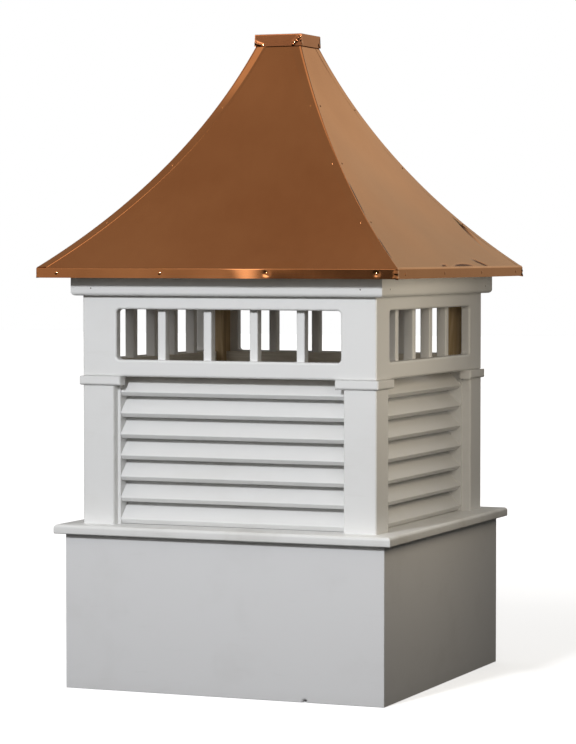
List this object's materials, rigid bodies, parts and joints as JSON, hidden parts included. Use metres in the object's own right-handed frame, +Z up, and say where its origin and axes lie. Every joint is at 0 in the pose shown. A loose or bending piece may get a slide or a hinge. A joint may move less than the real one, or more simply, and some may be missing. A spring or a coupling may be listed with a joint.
{
  "type": "barn cupola",
  "caption": "Square louvred cupola for a roof ridge: boxed base, sloping louvres, open barred transom, cornice and a concave copper hip roof with a flat cap.",
  "frame": {"origin": "middle of the base's open underside, on the plane of its lower rim", "axes": "+Z up, -Y the front face seen at the left of the picture, +X its right"},
  "size_m": [1.026, 1.026, 1.768],
  "materials": {
    "white_board": "plain white cellular board",
    "copper": "bare copper sheet, lightly tarnished",
    "wood": "raw softwood"
  },
  "bodies": {
    "root": {"base_front": "white_board", "sill_front": "white_board", "louvres_front": "white_board", "transom_front": "white_board", "bars_front": "white_board", "cornice_front": "white_board", "roof_front": "copper", "base_right": "white_board", "sill_right": "white_board", "louvres_right": "white_board", "transom_right": "white_board", "bars_right": "white_board", "cornice_right": "white_board", "roof_right": "copper", "base_back": "white_board", "sill_back": "white_board", "louvres_back": "white_board", "transom_back": "white_board", "bars_back": "white_board", "cornice_back": "white_board", "roof_back": "copper", "base_left": "white_board", "sill_left": "white_board", "louvres_left": "white_board", "transom_left": "white_board", "bars_left": "white_board", "cornice_left": "white_board", "roof_left": "copper", "post_front_left": "white_board", "post_front_right": "white_board", "post_back_right": "white_board", "post_back_left": "white_board", "post_capitals": "white_board", "louvre_stiles": "white_board", "wood_posts": "wood", "wood_rails": "wood", "roof_plate": "wood", "hip_ribs": "wood", "top_block": "wood", "hip_caps": "copper", "drip_edge": "copper", "roof_cap": "copper"}
  },
  "joints": []
}
